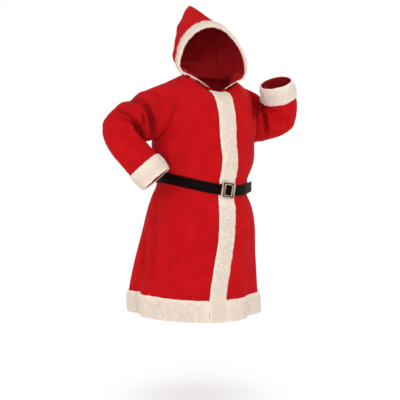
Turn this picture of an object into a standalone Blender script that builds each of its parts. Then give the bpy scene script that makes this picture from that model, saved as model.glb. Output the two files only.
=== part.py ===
"""A hooded Santa coat and its belt, in the shape they have when worn.

The coat is hollow: every panel is a thin cloth wall, one object for each piece that is cut and sewn.
Metres, +Z up, the front faces -Y and the wearer's left is +X. The origin is the base of the neck,
midway between the shoulders, where the wearer carries the coat.
"""

import math
from collections import namedtuple

import bmesh
import bpy
from mathutils import Matrix, Vector

# ---------------------------------------------------------------- driving sizes

CLOTH = 0.0025  # thickness of the red fleece
SEAM_GAP = 0.0003  # between pieces that are sewn together
SHOULDER_SEAM_SHARE = 0.0009  # half a seam, as a share of the rise from the armpit to the shoulder
LAYER_GAP = 0.0005  # between a piece and the cloth that it lies on

HEM_HEIGHT = -1.148
ARMPIT_HEIGHT = -0.305
HEM_FUR_WIDTH = 0.102
HEM_FUR_THICKNESS = 0.012
HEM_TUCK = 0.004  # the cloth ends this far above the lower edge of the fur

FRONT_FUR_WIDTH = 0.084
FRONT_FUR_THICKNESS = 0.011
PRESSED_FUR_THICKNESS = 0.003  # the same pile, held flat by the belt and its buckle

CUFF_FUR_WIDTH = 0.088
CUFF_FUR_THICKNESS = 0.010
HOOD_FUR_THICKNESS = 0.017
HOOD_FUR_OVERHANG = 0.012  # the fur rolls this far past the edge of the hood

BELT_HEIGHT = -0.547
BELT_WIDTH = 0.050
BELT_THICKNESS = 0.003
BELT_TAIL_ANGLE = 70.0  # how far round the waist the free end reaches, from the buckle
BELT_TAIL_LIFT = 0.026  # the free end springs away from the waist

BUCKLE_WIDTH = 0.068
BUCKLE_HEIGHT = 0.072
BUCKLE_SIDE_RAIL = 0.018
BUCKLE_TOP_RAIL = 0.0125
BUCKLE_THICKNESS = 0.005
BUCKLE_LEAN = 6.0  # degrees, its top towards the wearer's left
BUCKLE_BAR = 0.0045  # width of the bar behind the strap

RED = (0.62, 0.012, 0.014, 1.0)
CREAM = (0.86, 0.80, 0.70, 1.0)
BLACK = (0.012, 0.011, 0.011, 1.0)
OLD_BRASS = (0.42, 0.33, 0.22, 1.0)

# ---------------------------------------------------------------- shape tables

# One row for each level of the body, from the hem up. Depths are measured forwards and backwards from
# the side seams, shift moves the ring along X, tilt is its slope along X, droop is how much lower its
# front hangs than its sides and back, and twist turns the seams round the body, in degrees.
BodyRing = namedtuple("BodyRing", "height half_width front back shift tilt droop twist")
BODY_RINGS = [
    BodyRing(-1.148, 0.317, 0.260, 0.268, -0.056, 0.00, 0.034, -5.2),
    BodyRing(-1.046, 0.315, 0.258, 0.266, -0.062, 0.00, 0.034, -4.2),
    BodyRing(-0.960, 0.305, 0.257, 0.256, -0.060, 0.00, 0.034, -2.6),
    BodyRing(-0.880, 0.294, 0.256, 0.244, -0.054, -0.01, 0.034, -1.0),
    BodyRing(-0.780, 0.279, 0.254, 0.226, -0.042, -0.02, 0.036, 0.6),
    BodyRing(-0.690, 0.264, 0.255, 0.205, -0.035, -0.04, 0.040, 0.4),
    BodyRing(-0.625, 0.242, 0.251, 0.185, -0.034, -0.05, 0.045, 0.4),
    BodyRing(-0.587, 0.219, 0.239, 0.172, -0.033, -0.06, 0.050, 1.0),
    BodyRing(-0.507, 0.219, 0.239, 0.172, -0.031, -0.06, 0.050, 2.0),
    BodyRing(-0.465, 0.234, 0.249, 0.184, -0.028, -0.05, 0.042, 2.2),
    BodyRing(-0.400, 0.253, 0.254, 0.193, -0.024, -0.02, 0.018, 1.5),
    BodyRing(-0.305, 0.256, 0.234, 0.192, -0.018, 0.00, 0.000, 0.0),
]
# Heights where the panels, and all that lies on them, have a row of points.
BODY_ROWS = (
    [-1.105, -1.075, -1.046]
    + [-0.995, -0.945, -0.895, -0.845, -0.795, -0.745, -0.700, -0.660, -0.622]
    + [-0.587, -0.572, -0.522, -0.507]
    + [-0.472, -0.435, -0.400, -0.355]
)
UPPER_ROWS = 10  # from the armpit to the shoulder seam, and in each half of a sleeve's ring

# Drape folds of the skirt: where each runs round the body (degrees from the centre front, positive to
# the wearer's left), its half-width in degrees, the height where it starts, and its depth at the hem.
# A positive depth stands out, a negative one falls in.
SkirtFold = namedtuple("SkirtFold", "angle half_width start depth")
SKIRT_FOLDS = [
    SkirtFold(-22, 9, -0.78, -0.006),
    SkirtFold(-44, 11, -0.66, 0.008),
    SkirtFold(-69, 8, -0.62, 0.017),
    SkirtFold(-84, 7, -0.70, -0.030),
    SkirtFold(-101, 9, -0.64, 0.015),
    SkirtFold(-126, 9, -0.70, -0.017),
    SkirtFold(-146, 10, -0.64, 0.016),
    SkirtFold(-167, 9, -0.66, -0.017),
    SkirtFold(174, 9, -0.64, 0.015),
    SkirtFold(154, 9, -0.72, -0.018),
    SkirtFold(134, 10, -0.64, 0.015),
    SkirtFold(112, 9, -0.68, -0.016),
    SkirtFold(92, 9, -0.66, 0.013),
    SkirtFold(72, 9, -0.72, -0.010),
    SkirtFold(54, 8, -0.68, 0.012),
    SkirtFold(38, 7, -0.78, -0.022),
    SkirtFold(22, 8, -0.70, 0.010),
]

# The largest creases of the worn cloth, each a soft trough along a straight line between two points of
# the wall, with the direction that it is pushed in, its half-width and its depth.
Crease = namedtuple("Crease", "start finish push half_width depth")
CREASES = [
    Crease((-0.165, -0.150, -0.090), (-0.200, -0.190, -0.235), (0.2, 1, 0), 0.024, 0.013),
    Crease((-0.225, -0.130, -0.320), (-0.150, -0.220, -0.370), (0.2, 1, 0), 0.020, 0.006),
    Crease((0.165, -0.150, -0.090), (0.190, -0.190, -0.240), (-0.2, 1, 0), 0.024, 0.012),
    Crease((0.200, -0.140, -0.330), (0.130, -0.220, -0.385), (-0.2, 1, 0), 0.020, 0.006),
    Crease((-0.170, 0.120, -0.090), (-0.190, 0.160, -0.260), (0.1, -1, 0), 0.024, 0.011),
    Crease((0.170, 0.120, -0.090), (0.185, 0.160, -0.260), (-0.1, -1, 0), 0.024, 0.011),
    Crease((-0.120, 0.190, -0.400), (0.070, 0.190, -0.430), (0, -1, 0), 0.020, 0.006),
]

# Neckline, an oval that drops to the throat.
NECK_HALF_WIDTH = 0.126
NECK_FRONT = 0.100
NECK_BACK = 0.090
NECK_HEIGHTS = {"throat": -0.088, "side": 0.008, "nape": 0.022}
NECK_SEAM_ANGLE = 98.0  # where the shoulder seam meets the neckline, from the centre front
NECK_OUTWARD, NECK_UPWARD = 0.92, 0.42  # how the cloth faces at the neckline

# Columns of points in each half of the front and of the back. The front's first ones are under the
# fur of its edge, at these shares of the fur's half-width. The first ones end at the neckline, the
# rest at the shoulder seam.
FRONT_COLUMNS = 15
BACK_COLUMNS = 14
FUR_STEPS = [0.0, 0.5, 0.86, 1.0]
FUR_EDGE = len(FUR_STEPS) - 1
FRONT_NECK_COLUMNS = 7
BACK_NECK_COLUMNS = 5

# Each arm: the ends of its armhole, how far the armhole reaches forwards and backwards, and the
# sleeve's bent centre line, and how far the cloth points out at the elbow.
Arm = namedtuple("Arm", "name shoulder armpit reach elbow wrist bend_radius point")
RIGHT_ARM = Arm(
    "right",
    shoulder=Vector((-0.208, 0.004, -0.030)),
    armpit=Vector((-0.274, 0.000, -0.305)),
    reach=0.112,
    elbow=Vector((-0.488, 0.024, -0.262)),
    wrist=Vector((-0.312, -0.091, -0.496)),
    bend_radius=0.096,
    point=0.022,
)
LEFT_ARM = Arm(
    "left",
    shoulder=Vector((0.205, 0.004, -0.030)),
    armpit=Vector((0.238, 0.000, -0.305)),
    reach=0.112,
    elbow=Vector((0.382, -0.115, -0.218)),
    wrist=Vector((0.282, -0.186, -0.022)),
    bend_radius=0.090,
    point=0.026,
)

# Half sizes of the sleeve along its length: in the plane of the bend, and across that plane.
SleeveRing = namedtuple("SleeveRing", "share in_plane across")
SLEEVE_RINGS = {
    "right": [
        SleeveRing(0.00, 0.128, 0.106),
        SleeveRing(0.25, 0.104, 0.094),
        SleeveRing(0.45, 0.088, 0.084),
        SleeveRing(0.62, 0.081, 0.072),
        SleeveRing(0.82, 0.084, 0.060),
        SleeveRing(1.00, 0.075, 0.053),
    ],
    "left": [
        SleeveRing(0.00, 0.124, 0.106),
        SleeveRing(0.25, 0.105, 0.098),
        SleeveRing(0.48, 0.082, 0.088),
        SleeveRing(0.74, 0.082, 0.080),
        SleeveRing(1.00, 0.074, 0.072),
    ],
}
SLEEVE_ROWS = 14  # down to the fur
CUFF_ROWS = 5

# One row for each level of the hood, from the neck up to the ridge: its front edge, how wide the cloth
# swings out behind it, the seam at the back, how early the level rises on its way back and how far
# back it swings, and how far it turns and leans.
HoodRing = namedtuple(
    "HoodRing", "share edge_x edge_y edge_z swing back_y back_z early reach turn lean"
)
HOOD_RINGS = [
    HoodRing(0.07, 0.092, -0.112, -0.028, 0.142, 0.100, 0.052, 0.95, 1.00, -1.0, -0.004),
    HoodRing(0.14, 0.149, -0.094, 0.001, 0.158, 0.110, 0.078, 0.90, 1.00, -2.5, -0.014),
    HoodRing(0.21, 0.167, -0.089, 0.021, 0.160, 0.118, 0.100, 0.80, 1.00, -4.0, -0.022),
    HoodRing(0.28, 0.169, -0.093, 0.046, 0.157, 0.128, 0.122, 0.65, 1.00, -5.5, -0.024),
    HoodRing(0.42, 0.158, -0.100, 0.093, 0.152, 0.144, 0.158, 0.50, 1.00, -8.0, -0.018),
    HoodRing(0.56, 0.136, -0.102, 0.138, 0.146, 0.152, 0.206, 0.40, 0.98, -10.0, -0.020),
    HoodRing(0.70, 0.103, -0.105, 0.178, 0.130, 0.154, 0.260, 0.36, 0.94, -10.0, -0.025),
    HoodRing(0.82, 0.069, -0.109, 0.206, 0.100, 0.153, 0.308, 0.36, 0.88, -10.0, -0.028),
    HoodRing(0.92, 0.034, -0.112, 0.222, 0.056, 0.150, 0.348, 0.38, 0.80, -10.0, -0.030),
    HoodRing(1.00, 0.000, -0.113, 0.227, 0.000, 0.146, 0.384, 0.40, 0.72, -10.0, -0.030),
]
HOOD_LEVELS = [0.0015, 0.03, 0.07, 0.12, 0.18, 0.25, 0.33, 0.42, 0.51, 0.60, 0.69, 0.77, 0.85, 0.93, 1.0]
HOOD_SHARES = [0.0, 0.08, 0.138, 0.16, 0.25, 0.34, 0.43, 0.52, 0.62, 0.72, 0.81, 0.90, 1.0]

# ---------------------------------------------------------------- small maths


def smooth_step(value):
    """0 below 0, 1 above 1, and an even slope in between."""
    value = min(1.0, max(0.0, value))
    return value * value * (3.0 - 2.0 * value)


def spline(keys, values, at, level_ends=False):
    """A smooth curve through values at increasing keys. Values are numbers or vectors. With level_ends,
    for numbers, it is level where they stop rising or falling, so it never swings past them."""
    last = len(keys) - 1
    index = 0
    while index < last - 1 and at > keys[index + 1]:
        index += 1
    span = keys[index + 1] - keys[index]
    part = (at - keys[index]) / span

    def slope(i):
        low, high = max(0, i - 1), min(last, i + 1)
        if level_ends and (values[high] - values[i]) * (values[i] - values[low]) <= 0.0:
            return 0.0
        return (values[high] - values[low]) * (span / (keys[high] - keys[low]))

    if not 0.0 <= part <= 1.0:  # a little past an end, straight on
        near = index if part < 0.0 else index + 1
        return values[near] + slope(near) * (part if part < 0.0 else part - 1.0)
    squared, cubed = part**2, part**3
    return (
        values[index] * (2 * cubed - 3 * squared + 1)
        + slope(index) * (cubed - 2 * squared + part)
        + values[index + 1] * (3 * squared - 2 * cubed)
        + slope(index + 1) * (cubed - squared)
    )


def row_at(rows, key, at):
    """The row of a table at a value of its key column, every column read from a smooth curve."""
    keys = [getattr(row, key) for row in rows]
    columns = [spline(keys, [float(v) for v in column], at, key == "height") for column in zip(*rows)]
    return type(rows[0])(*columns)


def bezier(points, at):
    rest = 1.0 - at
    factors = (rest**3, 3 * rest**2 * at, 3 * rest * at**2, at**3)
    return sum((p * f for p, f in zip(points, factors)), Vector((0.0, 0.0, 0.0)))


def spread(low, high, count):
    """Evenly spaced values, both ends included."""
    return [low + (high - low) * i / (count - 1) for i in range(count)]


def straight_between(keys, values, at):
    """A value on the straight lines through values at increasing keys, and past their ends."""
    index = 0
    while index < len(keys) - 2 and at > keys[index + 1]:
        index += 1
    part = (at - keys[index]) / (keys[index + 1] - keys[index])
    return values[index] + (values[index + 1] - values[index]) * part


def faceted(surface, us, vs):
    """The surface as the flat facets between its points at us x vs, for what lies on a panel."""
    rows = [[surface(u, v) for u in us] for v in vs]

    def facet(u, v):
        return straight_between(vs, [straight_between(us, row, u) for row in rows], v)

    return facet


def creased(point):
    """The point after the creases have pushed it."""
    moved = point.copy()
    for crease in CREASES:
        start, finish = Vector(crease.start), Vector(crease.finish)
        along = finish - start
        share = (point - start).dot(along) / along.length_squared
        nearest = start + along * min(1.0, max(0.0, share))
        distance = (point - nearest).length / crease.half_width
        depth = crease.depth * math.exp(-distance * distance)
        moved += Vector(crease.push).normalized() * depth
    return moved


# ---------------------------------------------------------------- body of the coat


def fold_height(height, angle):
    """How far the skirt's folds stand out at a height and an angle round the body."""
    total = 0.0
    for fold in SKIRT_FOLDS:
        away = (angle - fold.angle + 180.0) % 360.0 - 180.0
        growth = smooth_step((fold.start - height) / (fold.start - HEM_HEIGHT))
        total += fold.depth * growth * math.exp(-((away / fold.half_width) ** 2))
    return total


def body_point(height, angle, out=0.0):
    """A point of the coat below the armpits, or a distance out from it."""
    ring = row_at(BODY_RINGS, "height", height)
    turn = math.radians(angle + ring.twist)
    out += fold_height(height, angle)
    depth = ring.front if math.cos(turn) > 0.0 else ring.back
    x = ring.shift + (ring.half_width + out) * math.sin(turn)
    y = -(depth + out) * math.cos(turn)
    away = abs((angle + 180.0) % 360.0 - 180.0)
    rise = ring.tilt * x + ring.droop * smooth_step(away / 100.0)
    return Vector((x, y, height + rise))


def neck_point(angle):
    """A point of the neckline, at an angle from the centre front."""
    turn = math.radians(angle)
    forward = math.cos(turn)
    depth, end = (
        (NECK_FRONT, NECK_HEIGHTS["throat"])
        if forward > 0.0
        else (NECK_BACK, NECK_HEIGHTS["nape"])
    )
    side = NECK_HEIGHTS["side"]
    height = side + (end - side) * abs(forward) ** 1.6
    return Vector((NECK_HALF_WIDTH * math.sin(turn), -depth * forward, height))


def armhole_point(arm, turn):
    """A point of an armhole: 0 degrees at the shoulder, 90 in front, 180 at the armpit, 270 behind."""
    centre = (arm.shoulder + arm.armpit) / 2
    up = (arm.shoulder - arm.armpit) / 2
    inward = -math.copysign(0.010, arm.shoulder.x)
    sine = math.sin(math.radians(turn))
    swing = Vector((inward * abs(sine), -arm.reach * sine, 0.0))
    return centre + up * math.cos(math.radians(turn)) + swing


def neck_share(front):
    """How much of a panel's top edge is neckline, the rest being shoulder seam."""
    if front:
        return column_share(FRONT_NECK_COLUMNS, ARMPIT_HEIGHT + 1.0)
    return BACK_NECK_COLUMNS / BACK_COLUMNS


def neck_angle(front, share):
    """Where a panel's top edge is on the neckline, from the centre front."""
    if front:
        return NECK_SEAM_ANGLE * share / neck_share(True)
    return 180.0 - (180.0 - NECK_SEAM_ANGLE) * share / neck_share(False)


def top_edge(front, share, arm):
    """The upper edge of a panel: neckline from its centre, then the shoulder seam to the armhole."""
    side = math.copysign(1.0, arm.shoulder.x)
    if share <= neck_share(front):
        return neck_point(side * neck_angle(front, share))
    part = (share - neck_share(front)) / (1.0 - neck_share(front))
    return neck_point(side * NECK_SEAM_ANGLE).lerp(arm.shoulder, part)


def panel_point(front, share, level):
    """A point of the front or the back of the coat.

    Share runs from 0 at the centre to 1 at the wearer's left side or -1 at the right. Level is a height
    below the armpits, and above them the height of the armpits plus 0 to 1 at the top edge.
    """
    arm = LEFT_ARM if share >= 0.0 else RIGHT_ARM
    angle = 90.0 * share if front else 180.0 - 90.0 * share
    if level <= ARMPIT_HEIGHT:
        return creased(body_point(level, angle))
    across, up = abs(share), level - ARMPIT_HEIGHT
    low, high = body_point(ARMPIT_HEIGHT, angle), top_edge(front, across, arm)
    quarter = up * math.pi / 2
    weights = (smooth_step(up), 1.0 - math.cos(quarter), math.sin(quarter))

    def risen(start, finish):
        return Vector([a + (b - a) * w for a, b, w in zip(start, finish, weights)])

    turn = 180.0 * (1.0 - up) if front else 180.0 * (1.0 + up)
    side_low = body_point(ARMPIT_HEIGHT, math.copysign(90.0, share))
    pull = armhole_point(arm, turn) - risen(side_low, arm.shoulder)
    return creased(risen(low, high) + pull * across**1.7)


def column_share(column, level):
    """Share of a front panel at a column of points, so that the fur of the edge keeps its width."""
    if level <= ARMPIT_HEIGHT:
        quarter = row_at(BODY_RINGS, "height", level).half_width * math.pi / 2
    else:
        quarter = 0.386 + 0.064 * (level - ARMPIT_HEIGHT)
    edge = FRONT_FUR_WIDTH / 2 / quarter
    across = abs(column)
    if across <= FUR_EDGE:
        share = edge * straight_between([0, 1, 2, 3], FUR_STEPS, across)
    else:
        share = edge + (1.0 - edge) * (across - FUR_EDGE) / (FRONT_COLUMNS - FUR_EDGE)
    return math.copysign(share, column)


def front_point(column, level):
    return panel_point(True, column_share(column, level), level)


def back_point(column, level):
    """Columns of the back run the other way, so that it too faces out."""
    return panel_point(False, -column / BACK_COLUMNS, level)


# ---------------------------------------------------------------- sleeves


def bent_line(arm, distance):
    """The point and direction at a distance along a sleeve's centre line, which is straight, then
    bends round the elbow, then is straight again."""
    start, first, second, turn, upper = bent_line_parts(arm)
    bend = arm.bend_radius * turn
    if distance <= upper:
        return start + first * distance, first
    entry = start + first * upper
    axis = first.cross(second).normalized()
    if distance <= upper + bend:
        spin = Matrix.Rotation((distance - upper) / arm.bend_radius, 3, axis)
        pivot = entry + axis.cross(first) * arm.bend_radius
        return pivot + spin @ (entry - pivot), spin @ first
    corner = arm.bend_radius * math.tan(turn / 2)
    return arm.elbow + second * (corner + distance - upper - bend), second


def bent_line_parts(arm):
    start = (arm.shoulder + arm.armpit) / 2
    first = (arm.elbow - start).normalized()
    second = (arm.wrist - arm.elbow).normalized()
    turn = first.angle(second)
    return start, first, second, turn, (arm.elbow - start).length - arm.bend_radius * math.tan(turn / 2)


def sleeve_length(arm):
    turn, upper = bent_line_parts(arm)[3:]
    lower = (arm.wrist - arm.elbow).length - arm.bend_radius * math.tan(turn / 2)
    return upper + arm.bend_radius * turn + lower


def sleeve_point(arm, turn, share):
    """A point of a sleeve: turn as in armhole_point, share from 0 at the armhole to 1 at the end."""
    centre, direction = bent_line(arm, share * sleeve_length(arm))
    start, first = bent_line(arm, 0.0)
    plane = (arm.elbow - start).cross(arm.wrist - arm.elbow).normalized()
    in_plane = plane.cross(direction)
    if plane.cross(first).dot(arm.shoulder - arm.armpit) < 0.0:
        in_plane = -in_plane
    across = plane if plane.y < 0.0 else -plane
    size = row_at(SLEEVE_RINGS[arm.name], "share", share)
    angle = math.radians(turn)
    # The outside of the elbow is the side away from the wrist, and it stands out in the bend's middle.
    upper, bend = bent_line_parts(arm)[4], arm.bend_radius * bent_line_parts(arm)[3]
    from_middle = (share * sleeve_length(arm) - upper - bend / 2) / (0.30 * bend)
    outside = math.cos(angle) * (1.0 if in_plane.dot(arm.wrist - arm.elbow) < 0.0 else -1.0)
    point = arm.point * math.exp(-(from_middle**2)) * max(0.0, outside) ** 3
    oval = (
        centre
        + in_plane * (size.in_plane + point) * math.cos(angle)
        + across * (size.across * math.sin(angle))
    )
    carried = armhole_point(arm, turn) + (centre - start)
    return creased(carried.lerp(oval, smooth_step(share / 0.42)))


# ---------------------------------------------------------------- hood


def hood_neck_angle(share):
    """Where on the neckline the hood's columns end: each at a column of the front or of the back."""
    front = [column_share(c, ARMPIT_HEIGHT + 1.0) for c in range(FRONT_NECK_COLUMNS + 1)]
    angles = [neck_angle(True, share) for share in front]
    behind = [neck_angle(False, c / BACK_COLUMNS) for c in range(BACK_NECK_COLUMNS)]
    return straight_between(HOOD_SHARES, angles + behind[::-1], share)


def hood_level(index, share):
    """A point of one level of the hood's left half: share 0 at the front edge, 1 at the back seam."""
    if index == 0:
        return neck_point(hood_neck_angle(share))
    ring = HOOD_RINGS[index - 1]
    depth, rise = ring.back_y - ring.edge_y, ring.back_z - ring.edge_z
    corners = [
        Vector((ring.edge_x, ring.edge_y, ring.edge_z)),
        Vector((ring.swing, ring.edge_y + 0.32 * depth, ring.edge_z + ring.early * rise)),
        Vector((ring.swing, ring.edge_y + ring.reach * depth, ring.edge_z + 0.9 * rise)),
        Vector((0.0, ring.back_y, ring.back_z)),
    ]
    return bezier(corners, share)


def hood_point(side, share, level):
    """A point of the hood before it turns: side 1 is the wearer's left half, -1 the right."""
    keys = [0.0] + [ring.share for ring in HOOD_RINGS]
    point = spline(keys, [hood_level(index, share) for index in range(len(keys))], level)
    return Vector((side * point.x, point.y, point.z))


def hood_turned(point, level):
    """The point after the hood has turned with the wearer's head, its back leaning more."""
    keys = [0.0] + [ring.share for ring in HOOD_RINGS]
    level = min(1.0, max(0.0, level))
    turn = spline(keys, [0.0] + [ring.turn for ring in HOOD_RINGS], level)
    lean = spline(keys, [0.0] + [ring.lean for ring in HOOD_RINGS], level)
    lean *= 0.35 + 0.65 * smooth_step((point.y + 0.10) / 0.20)
    return Matrix.Rotation(math.radians(turn), 3, "Z") @ point + Vector((lean, 0.0, 0.0))


# ---------------------------------------------------------------- shared normals at the seams

# At a seam, the pieces on both sides are mitred along one direction, between their two normals.


def neck_normal(angle):
    """Outwards and a little up, at an angle from the centre front."""
    turn = math.radians(angle)
    out = NECK_OUTWARD * Vector((math.sin(turn), -math.cos(turn), 0.0))
    return (out + Vector((0.0, 0.0, NECK_UPWARD))).normalized()


def armhole_normal(arm, turn):
    """Outwards all round the armhole, and most of all under the arm, where the sleeve hangs."""
    side = math.copysign(1.0, arm.shoulder.x)
    sine, cosine = math.sin(math.radians(turn)), math.cos(math.radians(turn))
    return Vector((side * (0.2 + 0.8 * max(0.0, -cosine) ** 2), -sine, cosine)).normalized()


def shoulder_normal(part, side):
    """Along the shoulder seam, from the neck at 0 to the armhole at 1."""
    steep = 0.30 + 0.5 * smooth_step(1.0 - 4.0 * part)
    return Vector((side * steep, 0.0, 1.0)).normalized()


def panel_seam_normal(front, share, level):
    """The mitre of a panel's wall where it meets the hood, a sleeve or the other panel, or None."""
    up = level - ARMPIT_HEIGHT
    across = abs(share)
    side = 1.0 if share >= 0.0 else -1.0
    if across > 0.99 and up >= -1e-6:
        arm = LEFT_ARM if share > 0.0 else RIGHT_ARM
        return armhole_normal(arm, 180.0 * (1.0 - up) if front else 180.0 * (1.0 + up))
    if up > 0.99:
        if across <= neck_share(front) + 1e-6:
            return neck_normal(side * neck_angle(front, across))
        return shoulder_normal((across - neck_share(front)) / (1.0 - neck_share(front)), side)
    return None


# ---------------------------------------------------------------- turning grids into solids


def surface_grid(surface, across, along, closed=False, seam_normal=None):
    """Points of a surface at across x along, and the outward normals there."""
    us = list(across) if closed else [2 * across[0] - across[1], *across, 2 * across[-1] - across[-2]]
    vs = [2 * along[0] - along[1], *along, 2 * along[-1] - along[-2]]
    rows = [[surface(u, v) for u in us] for v in vs]
    wide = len(us)
    normals = []
    for j in range(1, len(rows) - 1):
        line = []
        for i in range(0 if closed else 1, wide if closed else wide - 1):
            sideways = rows[j][(i + 1) % wide] - rows[j][i - 1]
            upwards = rows[j + 1][i] - rows[j - 1][i]
            fixed = seam_normal(us[i], vs[j]) if seam_normal else None
            line.append(fixed or sideways.cross(upwards).normalized())
        normals.append(line)
    trim = slice(None) if closed else slice(1, -1)
    return [row[trim] for row in rows[1:-1]], normals


def offset_grid(points, normals, distance):
    """Points moved along their normals by a distance, or by a grid of distances."""
    moved = []
    for j, (row, row_normals) in enumerate(zip(points, normals)):
        moved.append(
            [
                p + n * (distance[j][i] if isinstance(distance, list) else distance)
                for i, (p, n) in enumerate(zip(row, row_normals))
            ]
        )
    return moved


def layered(name, outer, inner, closed, colour, roughness):
    """A closed solid between two grids of points that match."""
    shape = bmesh.new()
    top, base = ([[shape.verts.new(p) for p in row] for row in grid] for grid in (outer, inner))
    wide, tall = len(outer[0]), len(outer)
    columns = wide if closed else wide - 1

    def split(a, b, c, d):
        """Two triangles, so that layers which touch are all split along the same diagonal."""
        shape.faces.new((a, b, c))
        shape.faces.new((a, c, d))

    for i in range(columns):
        k = (i + 1) % wide
        for j in range(tall - 1):
            split(top[j][i], top[j][k], top[j + 1][k], top[j + 1][i])
            split(base[j][i], base[j + 1][i], base[j + 1][k], base[j][k])
        split(base[0][i], base[0][k], top[0][k], top[0][i])
        split(top[-1][i], top[-1][k], base[-1][k], base[-1][i])
    if not closed:
        for j in range(tall - 1):
            split(top[j][0], top[j + 1][0], base[j + 1][0], base[j][0])
            split(base[j][-1], base[j + 1][-1], top[j + 1][-1], top[j][-1])
    return finished(name, shape, colour, roughness)


def finished(name, shape, colour, roughness, metallic=0.0):
    """The object of a bmesh, smooth, with its own material."""
    mesh = bpy.data.meshes.new(name)
    shape.to_mesh(mesh)
    shape.free()
    mesh.shade_smooth()
    mesh.set_sharp_from_angle(angle=math.radians(50))
    made = bpy.data.objects.new(name, mesh)
    material = bpy.data.materials.new(name)
    material.use_nodes = True
    shader = material.node_tree.nodes["Principled BSDF"]
    shader.inputs["Base Color"].default_value = colour
    shader.inputs["Roughness"].default_value = roughness
    shader.inputs["Metallic"].default_value = metallic
    mesh.materials.append(material)
    suit.objects.link(made)
    return made


def fur_depths(thicknesses, wide, closed=False, full_ends=(False, False)):
    """How deep a fur strip is at each point: rounded off at its edges, unless an end is a seam."""
    tall = len(thicknesses)

    def fullness(index, count, full=(False, False)):
        from_low, from_high = index, count - 1 - index
        shares = [1.0 if full[0] else (0.40, 0.86, 1.0)[min(from_low, 2)]]
        shares.append(1.0 if full[1] else (0.40, 0.86, 1.0)[min(from_high, 2)])
        return min(shares)

    return [
        [
            deep * min(fullness(j, tall, full_ends), 1.0 if closed else fullness(i, wide))
            for i in range(wide)
        ]
        for j, deep in enumerate(thicknesses)
    ]


def fur_strip(name, points, normals, depths, closed=False):
    """A fur strip that lies on a grid of points."""
    base = offset_grid(points, normals, LAYER_GAP)
    return layered(name, offset_grid(base, normals, depths), base, closed, CREAM, 0.95)


# ---------------------------------------------------------------- the pieces


def build_body():
    """Left front, right front and back, from the hem to the neckline and shoulder seams."""
    levels = [HEM_HEIGHT + HEM_TUCK, *BODY_ROWS]
    levels += [ARMPIT_HEIGHT + up / UPPER_ROWS for up in range(UPPER_ROWS)]
    levels.append(ARMPIT_HEIGHT + 1.0 - SHOULDER_SEAM_SHARE)
    inset = SEAM_GAP / 2 / 0.030  # half a seam, as a share of the width of a column
    columns = list(range(FRONT_COLUMNS + 1))
    half = [inset, *columns[1:-1], FRONT_COLUMNS - inset]
    whole_front = [-c for c in reversed(columns)] + columns[1:]
    back_half = [*range(BACK_COLUMNS), BACK_COLUMNS - inset]
    back = [-c for c in reversed(back_half)] + back_half[1:]

    def front_seam(column, level):
        return panel_seam_normal(True, column_share(column, level), level)

    def back_seam(column, level):
        return panel_seam_normal(False, -column / BACK_COLUMNS, level)

    for name, surface, across, seam in (
        ("front_left", front_point, half, front_seam),
        ("front_right", front_point, [-c for c in reversed(half)], front_seam),
        ("back", back_point, back, back_seam),
    ):
        points, normals = surface_grid(surface, across, levels, seam_normal=seam)
        layered(name, points, offset_grid(points, normals, -CLOTH), False, RED, 0.9)

    front_facets = faceted(front_point, whole_front, levels)
    back_facets = faceted(back_point, back, levels)

    # Fur down the front edge, flat where the belt and the buckle hold it.
    rows = [HEM_HEIGHT, HEM_HEIGHT + 0.010, *levels[1:-1], ARMPIT_HEIGHT + 0.97]
    thicknesses = []
    for level in rows:
        away = abs(level - BELT_HEIGHT) - 0.045
        held = 1.0 - smooth_step(away / 0.030) if level < ARMPIT_HEIGHT else 0.0
        thicknesses.append(
            FRONT_FUR_THICKNESS + (PRESSED_FUR_THICKNESS - FRONT_FUR_THICKNESS) * held
        )
    across = list(range(-FUR_EDGE, FUR_EDGE + 1))
    points, normals = surface_grid(front_facets, across, rows)
    fur_strip("front_fur", points, normals, fur_depths(thicknesses, len(across)))

    # Fur round the hem, from each side of the front edge to the side seams, and across the back.
    rows = [HEM_HEIGHT, HEM_HEIGHT + 0.010, -1.105, -1.075, -1.057, -1.046]
    half = [FUR_EDGE + 0.04, *columns[FUR_EDGE + 1 : -1], FRONT_COLUMNS - inset]
    for name, surface, across in (
        ("hem_fur_left", front_facets, half),
        ("hem_fur_right", front_facets, [-c for c in reversed(half)]),
        ("hem_fur_back", back_facets, back),
    ):
        points, normals = surface_grid(surface, across, rows)
        depths = fur_depths([HEM_FUR_THICKNESS] * len(rows), len(across), closed=True)
        if name != "hem_fur_back":
            for row in depths:
                end = 0 if name == "hem_fur_left" else -1
                row[end] *= 0.6
        fur_strip(name, points, normals, depths)


def build_sleeves():
    """Both sleeves, each a bent tube, and the fur round its end."""
    for arm in (RIGHT_ARM, LEFT_ARM):
        length = sleeve_length(arm)
        side = math.copysign(1.0, arm.shoulder.x)
        turns = [180.0 * i / UPPER_ROWS for i in range(2 * UPPER_ROWS)]
        fur_start = 1.0 - CUFF_FUR_WIDTH / length
        fur_rows = spread(fur_start, 1.0, CUFF_ROWS + 1)
        start = 4.0 * SEAM_GAP / length
        shares = spread(start, fur_start, SLEEVE_ROWS + 1) + fur_rows[1:-1]
        shares.append(1.0 - HEM_TUCK / length)

        def seam(turn, share):
            return armhole_normal(arm, side * turn) if share <= start + 1e-6 else None

        def surface(turn, share):
            under = max(0.0, -math.cos(math.radians(turn))) ** 4  # stands off more under the arm
            return sleeve_point(arm, side * turn, share + 1.2 * start * under * (1.0 - share))

        points, normals = surface_grid(surface, turns, shares, True, seam)
        layered(f"sleeve_{arm.name}", points, offset_grid(points, normals, -CLOTH), True, RED, 0.9)
        points, normals = surface_grid(surface, turns, fur_rows, True)
        depths = fur_depths([CUFF_FUR_THICKNESS] * len(fur_rows), len(turns), closed=True)
        fur_strip(f"cuff_fur_{arm.name}", points, normals, depths, True)


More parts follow.
